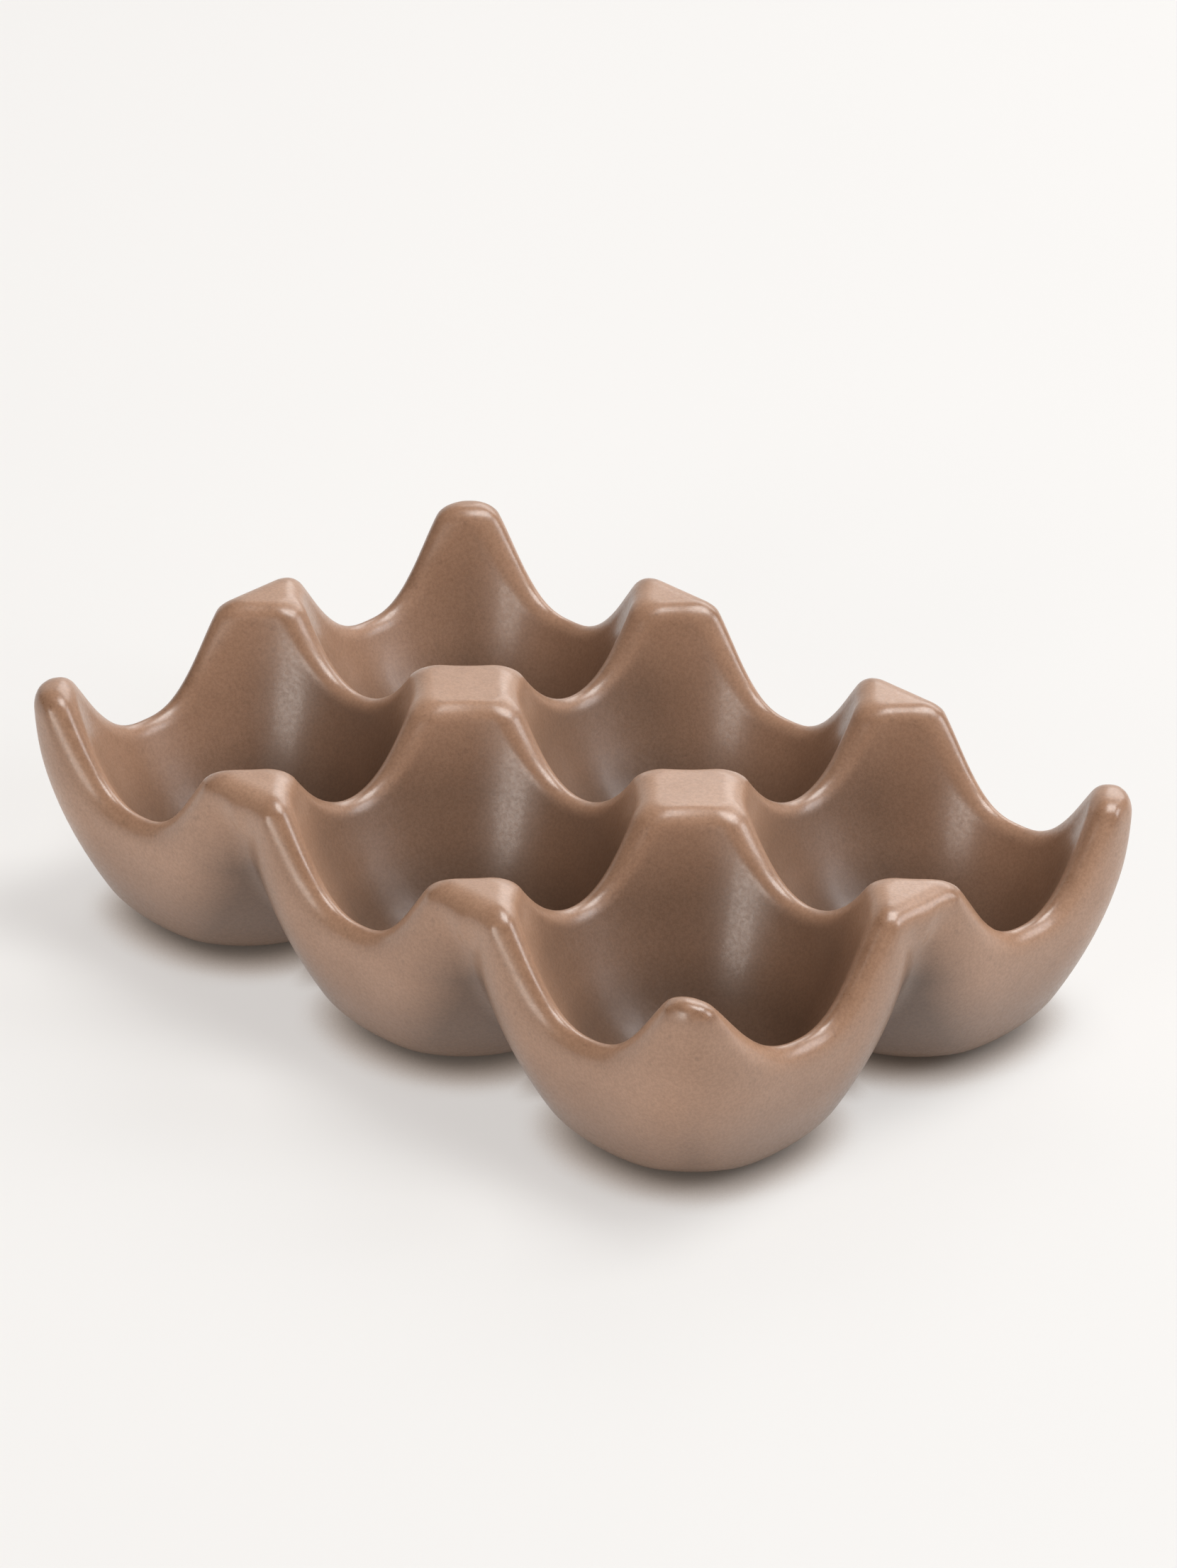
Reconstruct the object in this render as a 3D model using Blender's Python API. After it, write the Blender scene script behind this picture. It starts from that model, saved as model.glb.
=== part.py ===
"""Egg holder tray: a six-cup egg crate in one piece of glazed stoneware, on six soft foot pads.

Metres, +Z up. X runs along the three cups and Y across the two. The origin is on the surface the
tray stands on, under the middle of the tray.

The clay is one function of position, clay_depth, which is positive inside the fired body and close
to the distance to its skin. The body is what lies outside the six cups, under the rims and the
level of the peaks, inside the four sides, and inside the six outer bowls or the upturned cones
between them. A net of faces is laid where the function is zero, and a Decimate modifier thins it
where the skin is flat.
"""

import bmesh
import bpy
import numpy as np

# ---- driving dimensions, in metres ----
PITCH = 0.0510                  # from one cup's axis to the next, both ways
PEAK_TOP = 0.0413               # height of the flat-topped peaks
OVERHANG = 0.0009               # how far the outline passes the outermost grid lines

CUP_WAIST_RADIUS = 0.0242       # cup's inside radius at CUP_WAIST_HEIGHT
CUP_WAIST_HEIGHT = 0.0300
CUP_FLARE = 0.338               # how fast the cup's wall widens with height
CUP_FLOOR = 0.0058              # height of the cup's lowest point
CUP_FLOOR_CURVE = 0.0190        # radius of curvature of the cup's floor
CUP_BLEND = 0.0060              # between the curved floor and the flared wall

BOWL_TOP_RADIUS = 0.0348        # outside of a bowl at the peaks' height, were it not cut off
BOWL_CURVE = 0.0515             # how gently a bowl narrows downwards: a paraboloid's constant
SIDE_TOP = 0.0300               # height down to which the tray's four sides are upright
SIDE_CURVE = 0.0620             # how gently they lean inwards below that
CORNER_ROUND = 0.0045           # the tray's four upright corners, seen from above
BELLY_ROUND = 0.0030            # between a side and a bowl
POST_FOOT = 0.0352              # height of the point of the upturned cone of clay under a peak

FOOT_LIFT = 0.0006              # the flat feet hang this far over the surface
FOOT_EDGE = 0.0062              # rounding of a foot's edge

RIM_LOW = 0.0263                # height of the rim's low point, beside each cup
RIM_HALF_SPAN = 0.0204          # from a low point to where the rim levels out
RIM_CURVE = 1.39                # how broad the low point is
RIM_REACH = 0.0120              # the rim's dips are cut this far in
HORN_EXTRA = 0.0010             # on the long sides the rims level out this much later at the horns
SLIM_HORN_EXTRA = 0.0048        # one corner's horn is slimmer: its end rim levels out this much later

RIDGE_ROUND = 0.0054            # roundings: crest of a ridge between two cups
PEAK_ROUND = 0.0024             # edge of a peak and inner edge of the rim
LIP_ROUND = 0.0043              # outer edge of the rim
HOLLOW_ROUND = 0.0045           # where two outer bowls meet underneath

PAD_RADIUS = 0.0048
PAD_THICKNESS = 0.0012
PAD_GAP = 0.0003                # left between a pad and the clay round it
RECESS_DEPTH = PAD_THICKNESS + PAD_GAP - FOOT_LIFT

NET_SPACING = 0.0012            # spacing of the net of faces
BODY_TRIANGLES = 8000           # left by the Decimate modifier

HALF_LENGTH = 1.5 * PITCH + OVERHANG
HALF_WIDTH = PITCH + OVERHANG
CUP_CENTRES = [(i * PITCH, (j - 0.5) * PITCH) for i in (-1, 0, 1) for j in (0, 1)]
POST_CENTRES = [(i * PITCH, j * PITCH) for i in (-1.5, -0.5, 0.5, 1.5) for j in (-1, 0, 1)
                if abs(i) < 1 or j == 0]


# ---- the clay ----
def meet(radius, *depths):
    """Depth inside the overlap of several shapes, with their edges rounded."""
    least = np.minimum.reduce(depths)
    corner = sum(np.maximum(radius - depth, 0.0) ** 2 for depth in depths)
    return np.where(least < radius, radius - np.sqrt(corner), least)


def join(radius, *depths):
    """Depth inside the union of several shapes, with their valleys rounded."""
    return -meet(radius, *[-depth for depth in depths])


def bowl_depth(x, y, z):
    """Depth inside an outer bowl with its axis at x = y = 0: a paraboloid, widest at the top."""
    drop = np.maximum(PEAK_TOP - z, 0.0)
    radius = BOWL_TOP_RADIUS - drop ** 2 / (2.0 * BOWL_CURVE)
    return (radius - np.hypot(x, y)) / np.sqrt(1.0 + (drop / BOWL_CURVE) ** 2)


def post_depth(x, y, z):
    """Depth inside the upturned cones that fill the corners between the bowls, under the peaks."""
    from_axis = np.minimum.reduce([np.hypot(x - a, y - b) for a, b in POST_CENTRES])
    return (z - POST_FOOT - from_axis) / np.sqrt(2.0)


def block_depth(x, y, z):
    """Depth inside the tray's four sides, upright near the rim and leaning inwards below it."""
    drop = np.maximum(SIDE_TOP - z, 0.0)
    inset = drop ** 2 / (2.0 * SIDE_CURVE)
    sides = meet(CORNER_ROUND, HALF_LENGTH - inset - np.abs(x), HALF_WIDTH - inset - np.abs(y))
    return sides / np.sqrt(1.0 + (drop / SIDE_CURVE) ** 2)


def clay_round_cups(x, y, z):
    """Positive in the clay between and around the six cups, with the ridges between them rounded."""
    wall_cosine = 1.0 / np.sqrt(1.0 + CUP_FLARE ** 2)
    wall_radius = CUP_WAIST_RADIUS + CUP_FLARE * (z - CUP_WAIST_HEIGHT)
    clays = []
    for cup_x, cup_y in CUP_CENTRES:
        from_axis = np.hypot(x - cup_x, y - cup_y)
        in_wall = (wall_radius - from_axis) * wall_cosine
        floor_height = CUP_FLOOR + from_axis ** 2 / (2.0 * CUP_FLOOR_CURVE)
        over_floor = (z - floor_height) / np.sqrt(1.0 + (from_axis / CUP_FLOOR_CURVE) ** 2)
        clays.append(-meet(CUP_BLEND, in_wall, over_floor))
    return meet(RIDGE_ROUND, *clays)


def rim_height(along, half_span):
    """Height of the rim at a distance along it from the nearest low point."""
    turn = np.minimum(np.abs(along) / half_span, 1.0) ** RIM_CURVE
    rise = PEAK_TOP + 0.001 - RIM_LOW
    return RIM_LOW + rise * 0.5 * (1.0 - np.cos(np.pi * turn))


def under_rims(x, y, z):
    """Depth under the rims of the long sides and of the short ends."""
    step = 0.0004
    along_x = x - PITCH * np.clip(np.round(x / PITCH), -1, 1)
    along_y = y - 0.5 * PITCH * np.sign(y)
    inside_y = np.maximum(PITCH - RIM_REACH - np.abs(y), 0.0)
    inside_x = np.maximum(1.5 * PITCH - RIM_REACH - np.abs(x), 0.0)
    long_span = RIM_HALF_SPAN + HORN_EXTRA * (np.abs(x) > PITCH)
    end_span = RIM_HALF_SPAN + SLIM_HORN_EXTRA * ((x > 0.0) & (y < -0.5 * PITCH))
    depths = []
    for along, inside, span in ((along_x, inside_y, long_span), (along_y, inside_x, end_span)):
        slope = (rim_height(along + step, span) - rim_height(along - step, span)) / (2 * step)
        depths.append((rim_height(along, span) + 3.0 * inside - z) / np.sqrt(1.0 + slope ** 2))
    return depths


def clay_depth(x, y, z):
    """Positive inside the fired clay: about the distance to its skin."""
    above = meet(PEAK_ROUND, clay_round_cups(x, y, z), PEAK_TOP - z, *under_rims(x, y, z))
    bowls = [bowl_depth(x - a, y - b, z) for a, b in CUP_CENTRES]
    below = join(HOLLOW_ROUND, post_depth(x, y, z), *bowls)
    outside = meet(BELLY_ROUND, below, block_depth(x, y, z))
    return meet(LIP_ROUND, above, meet(FOOT_EDGE, outside, z - FOOT_LIFT))


# ---- the net of faces over the clay ----
def settle(points, rounds):
    """Move points along the clay's slope until they lie on its skin."""
    step = 0.00001
    for _ in range(rounds):
        x, y, z = points.T
        depth = clay_depth(x, y, z)
        slope = np.stack([
            clay_depth(x + step, y, z) - clay_depth(x - step, y, z),
            clay_depth(x, y + step, z) - clay_depth(x, y - step, z),
            clay_depth(x, y, z + step) - clay_depth(x, y, z - step),
        ], axis=1) / (2 * step)
        steep = np.maximum((slope ** 2).sum(axis=1), 0.05)
        points = points - slope * np.clip(depth / steep, -NET_SPACING, NET_SPACING)[:, None]
    return points


def relax(points, quads):
    """Move each point to the mean of its neighbours along the net's edges."""
    total = np.zeros_like(points)
    count = np.zeros(len(points))
    for corner in range(4):
        start = quads[:, corner]
        for neighbour in (quads[:, (corner + 1) % 4], quads[:, (corner + 3) % 4]):
            np.add.at(total, start, points[neighbour])
            np.add.at(count, start, 1.0)
    return total / count[:, None]


def without_diagonals(inside):
    """Fill grid points where the clay would touch itself only corner to corner across a square."""
    inside = inside.copy()
    for _ in range(8):
        changed = 0
        for first, second in ((0, 1), (0, 2), (1, 2)):
            grid = np.moveaxis(inside, (first, second), (0, 1))
            a, b, c, d = grid[:-1, :-1], grid[1:, :-1], grid[1:, 1:], grid[:-1, 1:]
            fill_b = a & c & ~b & ~d
            b |= fill_b
            fill_a = b & d & ~a & ~c
            a |= fill_a
            changed += fill_a.sum() + fill_b.sum()
        if not changed:
            break
    return inside


def clay_net(spacing):
    """Points and quads of a closed net over the clay's skin, one point in each crossed cell."""
    margin = 1.5 * spacing
    axes = [np.arange(-half - margin, half + margin + spacing, spacing) + 0.37 * spacing
            for half in (HALF_LENGTH, HALF_WIDTH)]
    axes.append(np.arange(-margin, PEAK_TOP + margin + spacing, spacing) + 0.37 * spacing)
    x, y, z = np.meshgrid(*axes, indexing="ij")
    inside = without_diagonals(clay_depth(x, y, z) > 0.0)

    cells = np.zeros([n - 1 for n in inside.shape], dtype=int)
    for i in (0, 1):
        for j in (0, 1):
            for k in (0, 1):
                cells += inside[i:i + cells.shape[0], j:j + cells.shape[1], k:k + cells.shape[2]]
    crossed = np.argwhere((cells > 0) & (cells < 8))
    number = -np.ones(cells.shape, dtype=int)
    number[tuple(crossed.T)] = np.arange(len(crossed))
    corner = np.stack([axes[axis][crossed[:, axis]] for axis in range(3)], axis=1)
    points = corner + 0.5 * spacing

    quads = []
    for axis in range(3):
        first, second = [other for other in range(3) if other != axis]
        low = np.take(inside, range(inside.shape[axis] - 1), axis)
        high = np.take(inside, range(1, inside.shape[axis]), axis)
        for outward, edges in ((1, low & ~high), (-1, ~low & high)):
            at = np.argwhere(edges)
            ring = []
            for shift_first, shift_second in ((0, 0), (1, 0), (1, 1), (0, 1)):
                cell = at.copy()
                cell[:, first] -= shift_first
                cell[:, second] -= shift_second
                ring.append(number[tuple(cell.T)])
            ring = np.stack(ring, axis=1)
            flip = outward * (-1 if axis == 1 else 1) < 0
            quads.append(ring[:, ::-1] if flip else ring)
    quads = np.concatenate(quads)
    for _ in range(3):
        points = settle(relax(points, quads), 2)
    return settle(points, 4), quads


# ---- Blender objects ----
def clear_scene():
    for existing in list(bpy.data.objects):
        bpy.data.objects.remove(existing, do_unlink=True)


def material(name, colour, roughness, coat=0.0):
    made = bpy.data.materials.new(name)
    made.use_nodes = True
    shader = made.node_tree.nodes["Principled BSDF"]
    shader.inputs["Base Color"].default_value = (*colour, 1.0)
    shader.inputs["Metallic"].default_value = 0.0
    shader.inputs["Roughness"].default_value = roughness
    shader.inputs["Coat Weight"].default_value = coat
    return made


def add_object(name, mesh, made_material=None):
    added = bpy.data.objects.new(name, mesh)
    bpy.context.scene.collection.objects.link(added)
    if made_material:
        mesh.materials.append(made_material)
    return added


def disc_mesh(name, radius, bottom, top, edge, segments=24):
    """A flat round disc from bottom to top, with its two rims bevelled."""
    mesh = bpy.data.meshes.new(name)
    shape = bmesh.new()
    bmesh.ops.create_cone(shape, cap_ends=True, segments=segments, radius1=radius, radius2=radius,
                          depth=top - bottom)
    bmesh.ops.translate(shape, verts=shape.verts, vec=(0.0, 0.0, 0.5 * (top + bottom)))
    if edge > 0.0:
        rims = [e for e in shape.edges if abs(e.verts[0].co.z - e.verts[1].co.z) < 1e-6]
        bmesh.ops.bevel(shape, geom=rims, offset=edge, segments=1, profile=0.5, affect="EDGES")
    shape.to_mesh(mesh)
    shape.free()
    return mesh


def build_body(glaze):
    points, quads = clay_net(NET_SPACING)
    mesh = bpy.data.meshes.new("tray_body")
    mesh.from_pydata(points.tolist(), [], quads.tolist())
    mesh.shade_smooth()
    body = add_object("tray_body", mesh, glaze)
    thin = body.modifiers.new("thin_flat_skin", "DECIMATE")
    thin.ratio = BODY_TRIANGLES / (2.0 * len(quads))
    recess = disc_mesh("recess", PAD_RADIUS + PAD_GAP, FOOT_LIFT - 0.001, FOOT_LIFT + RECESS_DEPTH, 0.0)
    for number, (cup_x, cup_y) in enumerate(CUP_CENTRES, start=1):
        cutter = add_object(f"pad_recess_{number}", recess)
        cutter.location = (cup_x, cup_y, 0.0)
        cutter.hide_render = True
        cutter.display_type = "WIRE"
        cut = body.modifiers.new(f"pad_recess_{number}", "BOOLEAN")
        cut.operation = "DIFFERENCE"
        cut.solver = "EXACT"
        cut.object = cutter
    return body


def build_pads(clear_rubber):
    mesh = disc_mesh("foot_pad", PAD_RADIUS, 0.0, PAD_THICKNESS, 0.00025)
    mesh.shade_smooth()
    mesh.materials.append(clear_rubber)
    for number, (cup_x, cup_y) in enumerate(CUP_CENTRES, start=1):
        pad = add_object(f"foot_pad_{number}", mesh)
        pad.location = (cup_x, cup_y, 0.0)


def main():
    clear_scene()
    glaze = material("satin_taupe_glaze", (0.36, 0.25, 0.18), 0.48, coat=0.15)
    clear_rubber = material("clear_silicone", (0.78, 0.77, 0.74), 0.42)
    build_body(glaze)
    build_pads(clear_rubber)


main()
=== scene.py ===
import math

import bpy
import numpy as np
from mathutils import Matrix, Vector


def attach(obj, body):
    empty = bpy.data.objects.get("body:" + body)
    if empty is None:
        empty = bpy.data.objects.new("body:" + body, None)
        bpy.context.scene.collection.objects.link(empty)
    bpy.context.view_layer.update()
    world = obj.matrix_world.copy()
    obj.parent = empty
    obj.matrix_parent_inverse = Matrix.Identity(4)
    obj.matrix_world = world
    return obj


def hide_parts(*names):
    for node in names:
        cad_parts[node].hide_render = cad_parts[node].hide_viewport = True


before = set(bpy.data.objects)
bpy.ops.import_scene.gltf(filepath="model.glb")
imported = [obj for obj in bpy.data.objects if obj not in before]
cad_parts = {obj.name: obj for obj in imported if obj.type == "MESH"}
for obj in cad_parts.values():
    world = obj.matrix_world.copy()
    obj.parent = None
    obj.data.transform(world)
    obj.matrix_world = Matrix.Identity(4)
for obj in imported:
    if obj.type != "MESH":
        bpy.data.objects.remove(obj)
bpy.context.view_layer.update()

# ---- the tray's dimensions, in metres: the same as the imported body's ----
PITCH = 0.0510                  # from one cup's axis to the next, both ways
PEAK_TOP = 0.0413               # height of the flat-topped peaks
OVERHANG = 0.0009               # how far the outline passes the outermost grid lines

CUP_WAIST_RADIUS = 0.0242       # cup's inside radius at CUP_WAIST_HEIGHT
CUP_WAIST_HEIGHT = 0.0300
CUP_FLARE = 0.338               # how fast the cup's wall widens with height
CUP_FLOOR = 0.0058              # height of the cup's lowest point
CUP_FLOOR_CURVE = 0.0190        # radius of curvature of the cup's floor
CUP_BLEND = 0.0060              # between the curved floor and the flared wall

BOWL_TOP_RADIUS = 0.0348        # outside of a bowl at the peaks' height, were it not cut off
BOWL_CURVE = 0.0515             # how gently a bowl narrows downwards: a paraboloid's constant
SIDE_TOP = 0.0300               # height down to which the tray's four sides are upright
SIDE_CURVE = 0.0620             # how gently they lean inwards below that
CORNER_ROUND = 0.0045           # the tray's four upright corners, seen from above
BELLY_ROUND = 0.0030            # between a side and a bowl
POST_FOOT = 0.0352              # height of the point of the upturned cone of clay under a peak

FOOT_LIFT = 0.0006              # the flat feet hang this far over the surface
FOOT_EDGE = 0.0062              # rounding of a foot's edge

RIM_LOW = 0.0263                # height of the rim's low point, beside each cup
RIM_HALF_SPAN = 0.0204          # from a low point to where the rim levels out
RIM_CURVE = 1.39                # how broad the low point is
RIM_REACH = 0.0120              # the rim's dips are cut this far in
HORN_EXTRA = 0.0010             # on the long sides the rims level out this much later at the horns
SLIM_HORN_EXTRA = 0.0048        # one corner's horn is slimmer: its end rim levels out this much later

RIDGE_ROUND = 0.0054            # roundings: crest of a ridge between two cups
PEAK_ROUND = 0.0024             # edge of a peak and inner edge of the rim
LIP_ROUND = 0.0043              # outer edge of the rim
HOLLOW_ROUND = 0.0045           # where two outer bowls meet underneath

PAD_RADIUS = 0.0048
PAD_THICKNESS = 0.0012
PAD_GAP = 0.0003                # left between a pad and the clay round it
RECESS_ROUND = 0.0004           # mouth of a pad's recess
NET_SPACING = 0.0006
BEND_SPREAD = 0.0012            # how far the skin's measured bend is averaged

HALF_LENGTH = 1.5 * PITCH + OVERHANG
HALF_WIDTH = PITCH + OVERHANG
CUP_CENTRES = [(i * PITCH, (j - 0.5) * PITCH) for i in (-1, 0, 1) for j in (0, 1)]
POST_CENTRES = [(i * PITCH, j * PITCH) for i in (-1.5, -0.5, 0.5, 1.5) for j in (-1, 0, 1)
                if abs(i) < 1 or j == 0]


# ---- the clay ----
def meet(radius, *depths):
    """Depth inside the overlap of several shapes, with their edges rounded."""
    least = np.minimum.reduce(depths)
    corner = sum(np.maximum(radius - depth, 0.0) ** 2 for depth in depths)
    return np.where(least < radius, radius - np.sqrt(corner), least)


def join(radius, *depths):
    """Depth inside the union of several shapes, with their valleys rounded."""
    return -meet(radius, *[-depth for depth in depths])


def bowl_depth(x, y, z):
    """Depth inside an outer bowl with its axis at x = y = 0: a paraboloid, widest at the top."""
    drop = np.maximum(PEAK_TOP - z, 0.0)
    radius = BOWL_TOP_RADIUS - drop ** 2 / (2.0 * BOWL_CURVE)
    return (radius - np.hypot(x, y)) / np.sqrt(1.0 + (drop / BOWL_CURVE) ** 2)


def post_depth(x, y, z):
    """Depth inside the upturned cones that fill the corners between the bowls, under the peaks."""
    from_axis = np.minimum.reduce([np.hypot(x - a, y - b) for a, b in POST_CENTRES])
    return (z - POST_FOOT - from_axis) / np.sqrt(2.0)


def block_depth(x, y, z):
    """Depth inside the tray's four sides, upright near the rim and leaning inwards below it."""
    drop = np.maximum(SIDE_TOP - z, 0.0)
    inset = drop ** 2 / (2.0 * SIDE_CURVE)
    sides = meet(CORNER_ROUND, HALF_LENGTH - inset - np.abs(x), HALF_WIDTH - inset - np.abs(y))
    return sides / np.sqrt(1.0 + (drop / SIDE_CURVE) ** 2)


def clay_round_cups(x, y, z):
    """Positive in the clay between and around the six cups, with the ridges between them rounded."""
    wall_cosine = 1.0 / np.sqrt(1.0 + CUP_FLARE ** 2)
    wall_radius = CUP_WAIST_RADIUS + CUP_FLARE * (z - CUP_WAIST_HEIGHT)
    clays = []
    for cup_x, cup_y in CUP_CENTRES:
        from_axis = np.hypot(x - cup_x, y - cup_y)
        in_wall = (wall_radius - from_axis) * wall_cosine
        floor_height = CUP_FLOOR + from_axis ** 2 / (2.0 * CUP_FLOOR_CURVE)
        over_floor = (z - floor_height) / np.sqrt(1.0 + (from_axis / CUP_FLOOR_CURVE) ** 2)
        clays.append(-meet(CUP_BLEND, in_wall, over_floor))
    return meet(RIDGE_ROUND, *clays)


def rim_height(along, half_span):
    """Height of the rim at a distance along it from the nearest low point."""
    turn = np.minimum(np.abs(along) / half_span, 1.0) ** RIM_CURVE
    rise = PEAK_TOP + 0.001 - RIM_LOW
    return RIM_LOW + rise * 0.5 * (1.0 - np.cos(np.pi * turn))


def under_rims(x, y, z):
    """Depth under the rims of the long sides and of the short ends."""
    step = 0.0004
    along_x = x - PITCH * np.clip(np.round(x / PITCH), -1, 1)
    along_y = y - 0.5 * PITCH * np.sign(y)
    inside_y = np.maximum(PITCH - RIM_REACH - np.abs(y), 0.0)
    inside_x = np.maximum(1.5 * PITCH - RIM_REACH - np.abs(x), 0.0)
    long_span = RIM_HALF_SPAN + HORN_EXTRA * (np.abs(x) > PITCH)
    end_span = RIM_HALF_SPAN + SLIM_HORN_EXTRA * ((x > 0.0) & (y < -0.5 * PITCH))
    depths = []
    for along, inside, span in ((along_x, inside_y, long_span), (along_y, inside_x, end_span)):
        slope = (rim_height(along + step, span) - rim_height(along - step, span)) / (2 * step)
        depths.append((rim_height(along, span) + 3.0 * inside - z) / np.sqrt(1.0 + slope ** 2))
    return depths


def clay_depth(x, y, z):
    """Positive inside the fired clay and outside the pads' recesses: about the distance to its skin."""
    above = meet(PEAK_ROUND, clay_round_cups(x, y, z), PEAK_TOP - z, *under_rims(x, y, z))
    bowls = [bowl_depth(x - a, y - b, z) for a, b in CUP_CENTRES]
    below = join(HOLLOW_ROUND, post_depth(x, y, z), *bowls)
    outside = meet(BELLY_ROUND, below, block_depth(x, y, z))
    clay = meet(LIP_ROUND, above, meet(FOOT_EDGE, outside, z - FOOT_LIFT))
    to_recess = np.minimum.reduce([np.hypot(x - a, y - b) for a, b in CUP_CENTRES])
    recess = np.minimum(PAD_RADIUS + PAD_GAP - to_recess, PAD_THICKNESS + PAD_GAP - z)
    return meet(RECESS_ROUND, clay, -recess)


# ---- the net of faces over the clay ----
def clay_slope(points):
    """Depth at each point, and its gradient."""
    step = 0.00002
    x, y, z = points.T
    depth = clay_depth(x, y, z)
    slope = [clay_depth(x + step, y, z), clay_depth(x, y + step, z), clay_depth(x, y, z + step)]
    return depth, (np.stack(slope, axis=1) - depth[:, None]) / step


def settle(points, rounds):
    """Move points along the clay's slope until they lie on its skin."""
    for _ in range(rounds):
        depth, slope = clay_slope(points)
        steep = np.maximum((slope ** 2).sum(axis=1), 0.05)
        points = points - slope * np.clip(depth / steep, -NET_SPACING, NET_SPACING)[:, None]
    return points


def neighbour_mean(values, quads):
    """Mean over each point's neighbours along the net's edges."""
    values = values.reshape(len(values), -1)
    starts = np.concatenate([quads[:, c] for c in range(4)] * 2)
    ends = np.concatenate([quads[:, (c + 1) % 4] for c in range(4)]
                          + [quads[:, (c + 3) % 4] for c in range(4)])
    count = np.bincount(starts, minlength=len(values))
    columns = [np.bincount(starts, values[ends, c], len(values)) / count
               for c in range(values.shape[1])]
    return np.stack(columns, axis=1)


def without_diagonals(inside):
    """Fill grid points where the clay would touch itself only corner to corner across a square."""
    for _ in range(8):
        changed = 0
        for first, second in ((0, 1), (0, 2), (1, 2)):
            grid = np.moveaxis(inside, (first, second), (0, 1))
            a, b, c, d = grid[:-1, :-1], grid[1:, :-1], grid[1:, 1:], grid[:-1, 1:]
            fill_b = a & c & ~b & ~d
            b |= fill_b
            fill_a = b & d & ~a & ~c
            a |= fill_a
            changed += fill_a.sum() + fill_b.sum()
        if not changed:
            break
    return inside


def inside_grid(spacing, block=4):
    """Grid axes and which grid points are in the clay, worked out closely only near its skin."""
    spans = [(-HALF_LENGTH, HALF_LENGTH), (-HALF_WIDTH, HALF_WIDTH), (0.0, PEAK_TOP)]
    axes = []
    for low, high in spans:
        blocks = math.ceil((high - low + 4 * spacing) / (block * spacing))
        axes.append(low - 1.63 * spacing + spacing * np.arange(blocks * block))
    middle = [axis.reshape(-1, block).mean(axis=1) for axis in axes]
    coarse = clay_depth(*np.meshgrid(*middle, indexing="ij"))
    near = np.abs(coarse) < 1.3 * block * spacing
    inside = coarse > 0.0
    for axis in range(3):
        inside = np.repeat(inside, block, axis)
        near = np.repeat(near, block, axis)
    i, j, k = np.nonzero(near)
    inside[i, j, k] = clay_depth(axes[0][i], axes[1][j], axes[2][k]) > 0.0
    return axes, without_diagonals(inside)


def clay_net(spacing):
    """Points and quads of a closed net over the clay's skin, one point in each crossed cell."""
    axes, inside = inside_grid(spacing)
    cells = np.zeros([n - 1 for n in inside.shape], dtype=np.int8)
    for i in (0, 1):
        for j in (0, 1):
            for k in (0, 1):
                cells += inside[i:i + cells.shape[0], j:j + cells.shape[1], k:k + cells.shape[2]]
    crossed = np.argwhere((cells > 0) & (cells < 8))
    number = -np.ones(cells.shape, dtype=int)
    number[tuple(crossed.T)] = np.arange(len(crossed))
    corner = np.stack([axes[axis][crossed[:, axis]] for axis in range(3)], axis=1)
    points = corner + 0.5 * spacing

    quads = []
    for axis in range(3):
        first, second = [other for other in range(3) if other != axis]
        low = np.take(inside, range(inside.shape[axis] - 1), axis)
        high = np.take(inside, range(1, inside.shape[axis]), axis)
        for outward, edges in ((1, low & ~high), (-1, ~low & high)):
            at = np.argwhere(edges)
            ring = []
            for shift_first, shift_second in ((0, 0), (1, 0), (1, 1), (0, 1)):
                cell = at.copy()
                cell[:, first] -= shift_first
                cell[:, second] -= shift_second
                ring.append(number[tuple(cell.T)])
            ring = np.stack(ring, axis=1)
            flip = outward * (-1 if axis == 1 else 1) < 0
            quads.append(ring[:, ::-1] if flip else ring)
    quads = np.concatenate(quads)
    points = settle(points, 2)
    for _ in range(2):
        points = settle(neighbour_mean(points, quads), 1)
    return settle(points, 2), quads


# ---- the camera's place, and the floor's own brightness ----
CAMERA_AZIMUTH = math.radians(44.75)     # round from the tray's long side
CAMERA_ELEVATION = math.radians(28.06)
CAMERA_DISTANCE = 1.5136
CAMERA_TARGET = Vector((-0.0415, 0.0445, 0.0))
CAMERA_LENS = 205.87
CAMERA_ROLL = math.radians(0.19)
FLOOR_GLOW = 0.58


# ---- small helpers ----
def link(item):
    bpy.context.scene.collection.objects.link(item)
    return item


def smooth_object(name, points, faces):
    mesh = bpy.data.meshes.new(name)
    mesh.from_pydata(points, [], faces)
    mesh.shade_smooth()
    return link(bpy.data.objects.new(name, mesh))


def point_value(item, name, values):
    """Store one number for each point of an object's mesh."""
    attribute = item.data.attributes.new(name, "FLOAT", "POINT")
    attribute.data.foreach_set("value", np.ascontiguousarray(values, dtype=np.float32).ravel())


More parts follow.
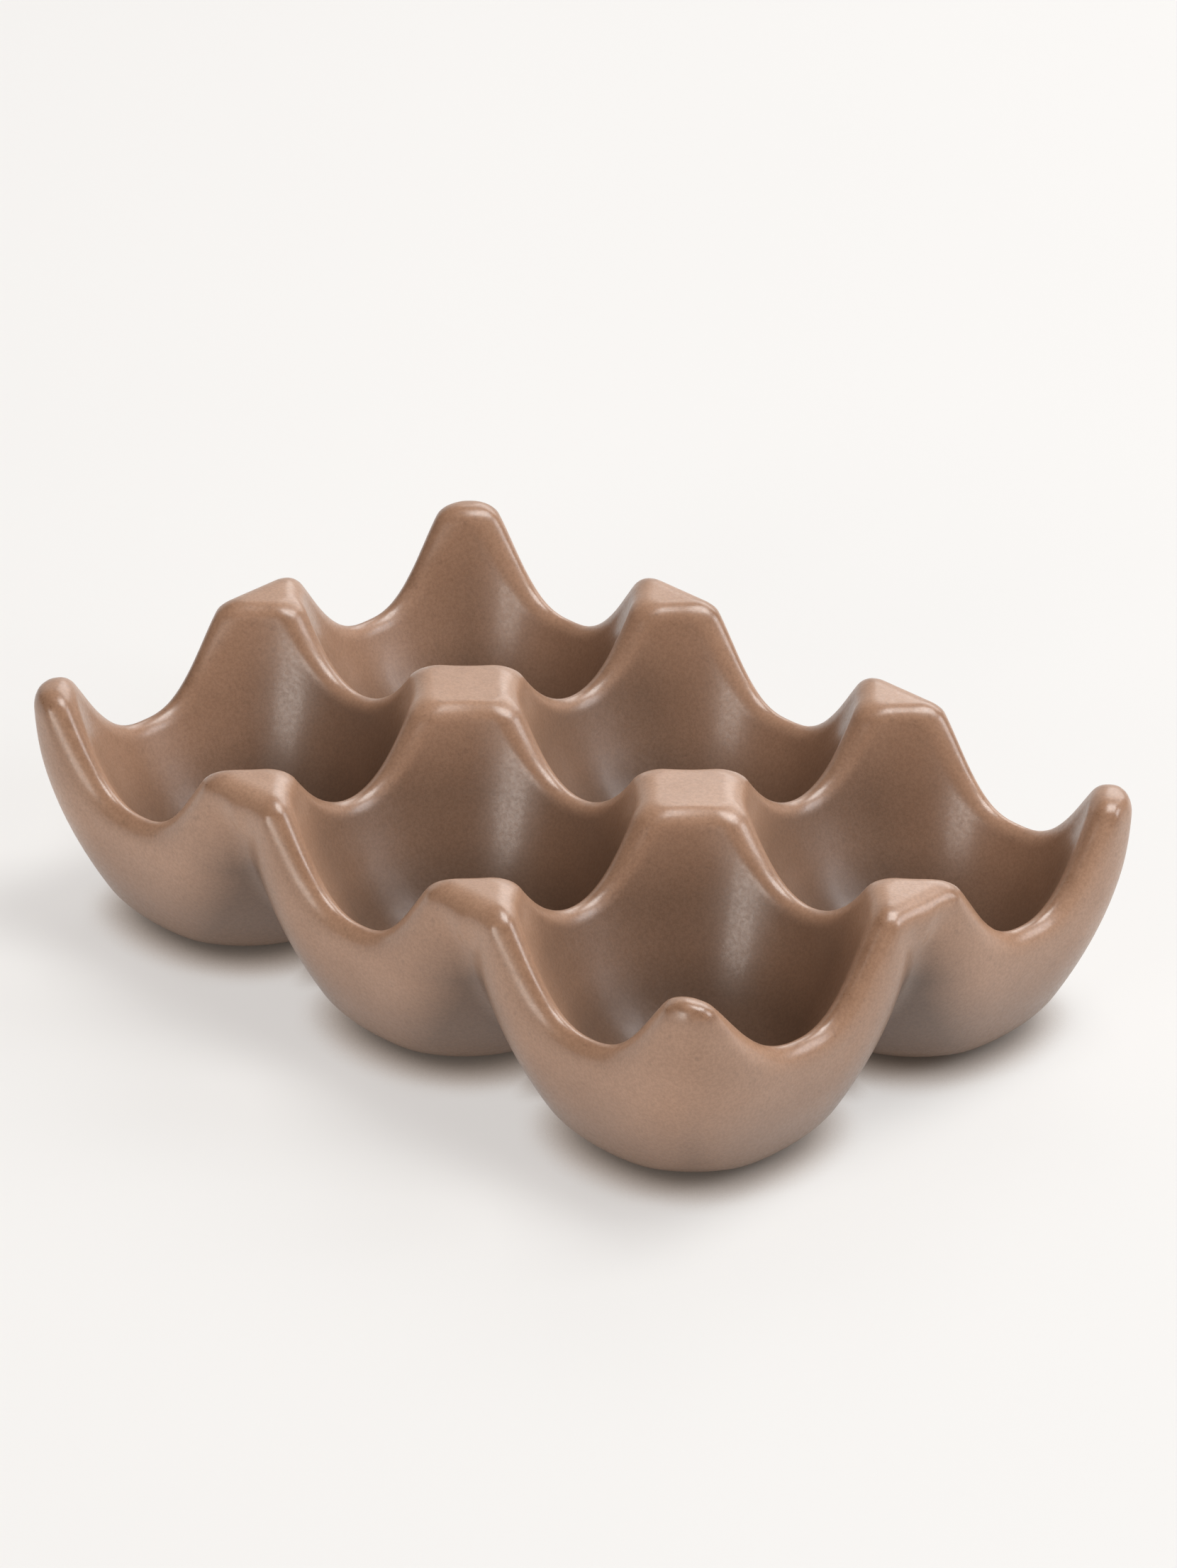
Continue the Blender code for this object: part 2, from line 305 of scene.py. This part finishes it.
class Nodes:
    """Adds nodes to a material and links them."""

    def __init__(self, name):
        self.material = bpy.data.materials.new(name)
        self.material.use_nodes = True
        self.tree = self.material.node_tree
        self.shader = self.tree.nodes["Principled BSDF"]

    def add(self, kind, settings=(), **inputs):
        node = self.tree.nodes.new(kind)
        for key, value in dict(settings).items():
            setattr(node, key, value)
        for key, value in inputs.items():
            self.feed(node.inputs[key.replace("_", " ")], value)
        return node

    def feed(self, socket, value):
        if isinstance(value, bpy.types.NodeSocket):
            self.tree.links.new(value, socket)
        else:
            socket.default_value = value

    def place(self):
        return self.add("ShaderNodeTexCoord").outputs["Object"]

    def noise(self, scale, detail=2.0, roughness=0.5, where=None):
        node = self.add("ShaderNodeTexNoise", Scale=scale, Detail=detail, Roughness=roughness,
                        Vector=where or self.place())
        return node.outputs["Fac"]

    def ramp(self, value, from_low, from_high, to_low=0.0, to_high=1.0):
        node = self.add("ShaderNodeMapRange", Value=value, From_Min=from_low, From_Max=from_high,
                        To_Min=to_low, To_Max=to_high)
        node.interpolation_type = "SMOOTHSTEP"
        return node.outputs["Result"]

    def combine(self, *values, operation="ADD"):
        """Add the values, or join them by another operation."""
        total = values[0]
        for value in values[1:]:
            node = self.add("ShaderNodeMath", {"operation": operation})
            self.feed(node.inputs[0], total)
            self.feed(node.inputs[1], value)
            total = node.outputs[0]
        return total

    def mix(self, factor, first, second, blend="MIX"):
        node = self.add("ShaderNodeMix", {"data_type": "RGBA", "blend_type": blend})
        self.feed(node.inputs[0], factor)
        self.feed(node.inputs[6], first)
        self.feed(node.inputs[7], second)
        return node.outputs[2]

    def value(self, name):
        return self.add("ShaderNodeAttribute", {"attribute_name": name}).outputs["Fac"]

    def bump(self, height, distance, strength, normal=None):
        node = self.add("ShaderNodeBump", Height=height, Distance=distance, Strength=strength)
        if normal:
            self.feed(node.inputs["Normal"], normal)
        return node.outputs["Normal"]


# ---- materials ----
def glaze_material():
    n = Nodes("satin_taupe_glaze")
    edge = n.value("edge")
    painted_shade = n.value("painted_shade")
    foot = n.value("foot")

    cloud = n.noise(70.0, detail=3.0)
    grain = n.noise(1900.0, detail=4.0, roughness=0.80)
    fleck = n.noise(900.0, detail=2.0, roughness=0.6)

    colour = n.mix(n.ramp(cloud, 0.3, 0.7), (0.367, 0.210, 0.131, 1), (0.407, 0.238, 0.153, 1))
    shimmer = n.mix(n.ramp(grain, 0.38, 0.62), (0.70, 0.66, 0.62, 1), (1.34, 1.38, 1.42, 1))
    colour = n.mix(n.combine(n.ramp(fleck, 0.60, 0.72), 0.16, operation="MULTIPLY"), colour,
                   (0.11, 0.058, 0.033, 1))
    rust = n.combine(edge, n.ramp(n.noise(400.0, detail=3.0), 0.25, 0.75, 0.20, 0.60), operation="MULTIPLY")
    colour = n.mix(rust, colour, (0.175, 0.082, 0.040, 1))
    # painted shade: darker in the cups, near the feet and in the valleys between bowls
    colour = n.mix(painted_shade, colour, (0.125, 0.073, 0.046, 1))
    colour = n.mix(0.28, colour, shimmer, blend="MULTIPLY")
    bare = n.mix(n.ramp(n.noise(700.0, detail=4.0), 0.3, 0.7), (0.52, 0.41, 0.30, 1),
                 (0.60, 0.49, 0.37, 1))
    colour = n.mix(foot, colour, bare)
    n.feed(n.shader.inputs["Base Color"], colour)

    gloss = n.ramp(n.noise(1500.0, detail=3.0), 0.3, 0.7, 0.32, 0.42)
    gloss = n.combine(gloss, n.combine(edge, -0.07, operation="MULTIPLY"))
    gloss = n.combine(gloss, n.combine(foot, 0.40, operation="MULTIPLY"))
    n.feed(n.shader.inputs["Roughness"], gloss)
    n.shader.inputs["Specular IOR Level"].default_value = 0.65
    n.shader.inputs["Coat Weight"].default_value = 0.20
    n.shader.inputs["Coat Roughness"].default_value = 0.17

    waves = n.bump(n.noise(130.0, detail=1.0), 0.0004, 0.35)
    peel = n.bump(n.noise(900.0, detail=2.0), 0.00004, 0.25, waves)
    fine = n.bump(grain, 0.00003, 0.5, peel)
    n.feed(n.shader.inputs["Normal"], fine)
    return n.material


def pad_material():
    n = Nodes("clear_silicone")
    haze = n.ramp(n.noise(900.0, detail=3.0), 0.3, 0.7)
    n.feed(n.shader.inputs["Base Color"], n.mix(haze, (0.74, 0.73, 0.69, 1), (0.80, 0.79, 0.75, 1)))
    n.feed(n.shader.inputs["Roughness"], n.ramp(n.noise(2500.0), 0.3, 0.7, 0.34, 0.46))
    n.shader.inputs["Transmission Weight"].default_value = 0.45
    n.shader.inputs["IOR"].default_value = 1.41
    n.feed(n.shader.inputs["Normal"], n.bump(n.noise(1800.0), 0.00003, 0.4))
    return n.material


def floor_material():
    """Pale matt table top; it glows softly, a painted light, and the glow dims and turns warm where
    something stands close over it, a painted contact shadow.
    """
    n = Nodes("pale_table")
    tone = n.ramp(n.noise(3.0, detail=2.0), 0.3, 0.7)
    n.feed(n.shader.inputs["Base Color"], n.mix(tone, (0.283, 0.290, 0.289, 1), (0.298, 0.305, 0.303, 1)))
    n.shader.inputs["Roughness"].default_value = 0.8
    n.shader.inputs["Specular IOR Level"].default_value = 0.1
    open_air = n.add("ShaderNodeAmbientOcclusion", {"samples": 8}, Distance=0.010)
    openness = n.ramp(open_air.outputs["AO"], 0.0, 0.75)
    # painted shadow: the glow turns warm and fades where something stands close over the floor
    n.feed(n.shader.inputs["Emission Color"], n.mix(openness, (1.0, 0.72, 0.54, 1), (1.0, 0.962, 0.935, 1)))
    glow = n.combine(openness, FLOOR_GLOW, operation="MULTIPLY")
    n.feed(n.shader.inputs["Emission Strength"], glow)
    return n.material


# ---- pieces ----
def fade(values, start, end):
    """From 0 where a value is at start to 1 where it is at end, and level past both."""
    return np.clip((values - start) / (end - start), 0.0, 1.0)


def painted_shade_amount(x, y, z, bend):
    """Painted shade: how much darker the glaze is painted in the cups, near the feet and in the valleys
    between bowls, where shade falls.
    """
    in_cups = fade(block_depth(x, y, z), 0.003, 0.015) * fade(z, PEAK_TOP - 0.001, PEAK_TOP - 0.013)
    on_ridges = fade(bend, 5.0, 40.0)
    near_foot = fade(z, 0.021, 0.0)
    bowls = np.sort([bowl_depth(x - a, y - b, z) for a, b in CUP_CENTRES], axis=0)
    between_bowls = fade(bowls[-1] - bowls[-2], 0.024, 0.0)
    outside = fade(bowls[-1], 0.003, 0.0) * fade(z, 0.034, 0.024)
    # painted shade, kept lighter on the ridges
    painted_shade = 0.64 * in_cups * (1.0 - 0.7 * on_ridges) + 0.95 * near_foot + between_bowls * outside
    return np.minimum(painted_shade, 0.90)


def make_body(glaze):
    """The tray: a smooth net over the clay, which also carries how bent its skin is."""
    points, quads = clay_net(NET_SPACING)
    _, slope = clay_slope(points)
    outward = -slope / np.linalg.norm(slope, axis=1, keepdims=True)
    bend = -((neighbour_mean(points, quads) - points) * outward).sum(axis=1) / NET_SPACING ** 2
    for _ in range(int(BEND_SPREAD / NET_SPACING) ** 2 + 1):
        bend = neighbour_mean(bend, quads)[:, 0]
    body = smooth_object("stoneware_body", points, quads)
    point_value(body, "edge", fade(bend, 40.0, 110.0))
    # how much painted shade falls on each point
    point_value(body, "painted_shade", painted_shade_amount(*points.T, bend))
    point_value(body, "foot", fade(points[:, 2], FOOT_LIFT + 0.0004, FOOT_LIFT + 0.0001))
    body.data.materials.append(glaze)
    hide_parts("tray_body")
    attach(body, "root")


def make_pad(number, cup_x, cup_y, rubber):
    """A pressed disc with a rolled edge, a slightly domed top and a faint ring underneath."""
    profile = [(0.0, 0.00006), (0.0030, 0.00006), (0.0033, 0.0), (0.0043, 0.0), (0.0046, 0.00010),
               (0.00475, 0.00030), (PAD_RADIUS, 0.0006), (0.00475, 0.0009), (0.0046, 0.0011),
               (0.0043, 0.00119), (0.0022, PAD_THICKNESS), (0.0, PAD_THICKNESS)]
    steps = 64
    points = []
    faces = []
    for radius, height in profile[1:-1]:
        for step in range(steps):
            turn = 2 * math.pi * step / steps
            points.append((cup_x + radius * math.cos(turn), cup_y + radius * math.sin(turn), height))
    rings = len(profile) - 2
    for ring in range(rings - 1):
        for step in range(steps):
            after = (step + 1) % steps
            low, high = ring * steps, (ring + 1) * steps
            faces.append((low + step, low + after, high + after, high + step))
    bottom = len(points)
    points.append((cup_x, cup_y, profile[0][1]))
    points.append((cup_x, cup_y, profile[-1][1]))
    for step in range(steps):
        after = (step + 1) % steps
        last = (rings - 1) * steps
        faces.append((bottom, after, step))
        faces.append((bottom + 1, last + step, last + after))
    pad = smooth_object(f"silicone_pad_{number}", points, faces)
    pad.data.materials.append(rubber)
    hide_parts(f"foot_pad_{number}")
    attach(pad, "root")


# ---- floor, lights and camera ----
def make_floor():
    """A wide table top that curves up into the backdrop, seamless and plain."""
    half, back, rise, bend = 3.0, 1.6, 2.4, 0.9
    view_from = Vector((math.sin(CAMERA_AZIMUTH), -math.cos(CAMERA_AZIMUTH), 0.0))
    across = Vector((-view_from.y, view_from.x, 0.0))
    section = [(-2.5, 0.0), (back, 0.0)]
    for step in range(1, 17):
        turn = 0.5 * math.pi * step / 16
        section.append((back + bend * math.sin(turn), bend * (1.0 - math.cos(turn))))
    section.append((back + bend, rise))
    points = []
    for distance, height in section:
        for side in (-half, half):
            points.append(-view_from * distance + across * side + Vector((0.0, 0.0, height)))
    faces = [(2 * i, 2 * i + 1, 2 * i + 3, 2 * i + 2) for i in range(len(section) - 1)]
    floor = smooth_object("table_top", points, faces)
    floor.data.materials.append(floor_material())


def area_light(name, azimuth, elevation, distance, width, height, power, colour=(1, 1, 1)):
    """A soft box that faces the tray. Azimuth 0 is in front of the long side, 90 past its +X end."""
    a, e = math.radians(azimuth), math.radians(elevation)
    way = Vector((math.sin(a) * math.cos(e), -math.cos(a) * math.cos(e), math.sin(e)))
    lamp = bpy.data.lights.new(name, "AREA")
    lamp.shape = "RECTANGLE"
    lamp.size, lamp.size_y = width, height
    lamp.energy = power
    lamp.color = colour
    item = link(bpy.data.objects.new(name, lamp))
    item.location = way * distance
    item.rotation_mode = "QUATERNION"
    item.rotation_quaternion = way.to_track_quat("Z", "Y")


def make_lights():
    world = bpy.data.worlds.new("studio")
    bpy.context.scene.world = world
    world.use_nodes = True
    sky = world.node_tree.nodes["Background"]
    sky.inputs["Color"].default_value = (1.0, 0.985, 0.965, 1)
    sky.inputs["Strength"].default_value = 0.10
    area_light("overhead", 140, 70, 1.3, 0.7, 0.7, 13.5, (1.0, 0.98, 0.96))
    area_light("behind", 200, 33, 1.5, 1.1, 0.7, 6.5, (1.0, 0.99, 0.98))
    area_light("front_left", 8, 14, 1.3, 0.46, 0.55, 5.2, (1.0, 0.92, 0.85))
    area_light("right", 128, 30, 1.4, 0.6, 0.6, 6.5, (0.98, 0.98, 1.0))


def make_camera():
    level = math.cos(CAMERA_ELEVATION)
    back = Vector((math.sin(CAMERA_AZIMUTH) * level, -math.cos(CAMERA_AZIMUTH) * level,
                   math.sin(CAMERA_ELEVATION)))
    lens = bpy.data.cameras.new("camera")
    lens.sensor_width = 36.0
    lens.lens = CAMERA_LENS
    lens.clip_start = 0.05
    lens.clip_end = 30.0
    camera = link(bpy.data.objects.new("camera", lens))
    camera.location = CAMERA_TARGET + back * CAMERA_DISTANCE
    camera.rotation_mode = "QUATERNION"
    roll = Matrix.Rotation(CAMERA_ROLL, 3, "Z").to_quaternion()
    camera.rotation_quaternion = (-back).to_track_quat("-Z", "Y") @ roll
    bpy.context.scene.camera = camera


bpy.context.scene.view_settings.view_transform = "Standard"
glaze = glaze_material()
make_body(glaze)
rubber = pad_material()
for pad_number, (pad_x, pad_y) in enumerate(CUP_CENTRES, start=1):
    make_pad(pad_number, pad_x, pad_y, rubber)
make_floor()
make_lights()
make_camera()
